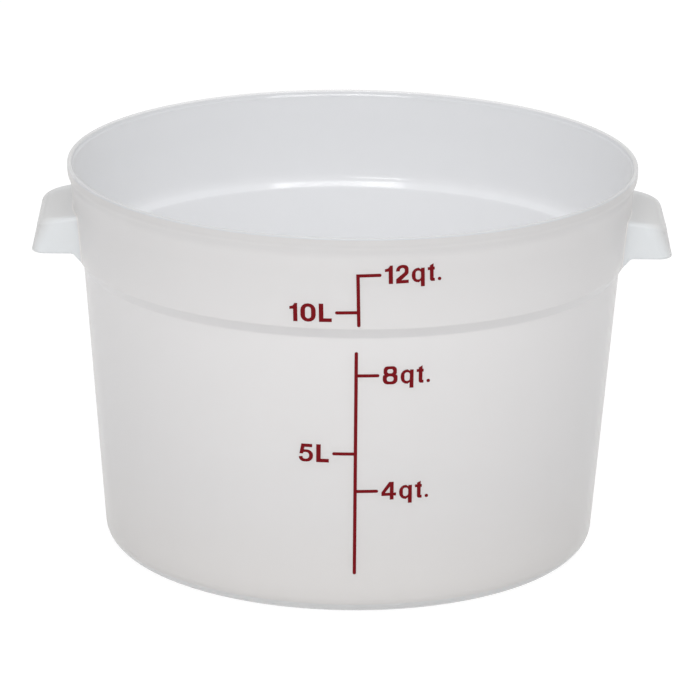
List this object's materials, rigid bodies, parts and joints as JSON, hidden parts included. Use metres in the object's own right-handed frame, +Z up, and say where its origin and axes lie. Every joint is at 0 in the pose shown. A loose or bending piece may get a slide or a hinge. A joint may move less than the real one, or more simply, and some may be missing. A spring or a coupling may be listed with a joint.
{
  "type": "food storage container",
  "caption": "Round translucent food storage tub with a stepped wider collar, a beaded rim, two hooded side handles and a printed volume scale.",
  "frame": {"origin": "middle of the base, on the plane that the standing ring rests on", "axes": "+Z up along the tub's axis, +X through the middle of one handle, and the printed scale faces -Y"},
  "size_m": [0.3422, 0.3068, 0.2113],
  "materials": {
    "frosted_polypropylene": "natural translucent polypropylene, softly frosted, satin",
    "scale_ink": "dark red printing ink, satin"
  },
  "bodies": {
    "root": {"tub": "frosted_polypropylene", "scale_line_upper": "scale_ink", "scale_line_lower": "scale_ink", "tick_12_quart": "scale_ink", "label_12_quart_figure_1": "scale_ink", "label_12_quart_figure_2": "scale_ink", "label_12_quart_letter_q": "scale_ink", "label_12_quart_letter_t": "scale_ink", "label_12_quart_full_stop": "scale_ink", "tick_10_litre": "scale_ink", "label_10_litre_figure_1": "scale_ink", "label_10_litre_figure_0": "scale_ink", "label_10_litre_letter_L": "scale_ink", "tick_8_quart": "scale_ink", "label_8_quart_figure_8": "scale_ink", "label_8_quart_letter_q": "scale_ink", "label_8_quart_letter_t": "scale_ink", "label_8_quart_full_stop": "scale_ink", "tick_5_litre": "scale_ink", "label_5_litre_figure_5": "scale_ink", "label_5_litre_letter_L": "scale_ink", "tick_4_quart": "scale_ink", "label_4_quart_figure_4": "scale_ink", "label_4_quart_letter_q": "scale_ink", "label_4_quart_letter_t": "scale_ink", "label_4_quart_full_stop": "scale_ink"}
  },
  "joints": []
}
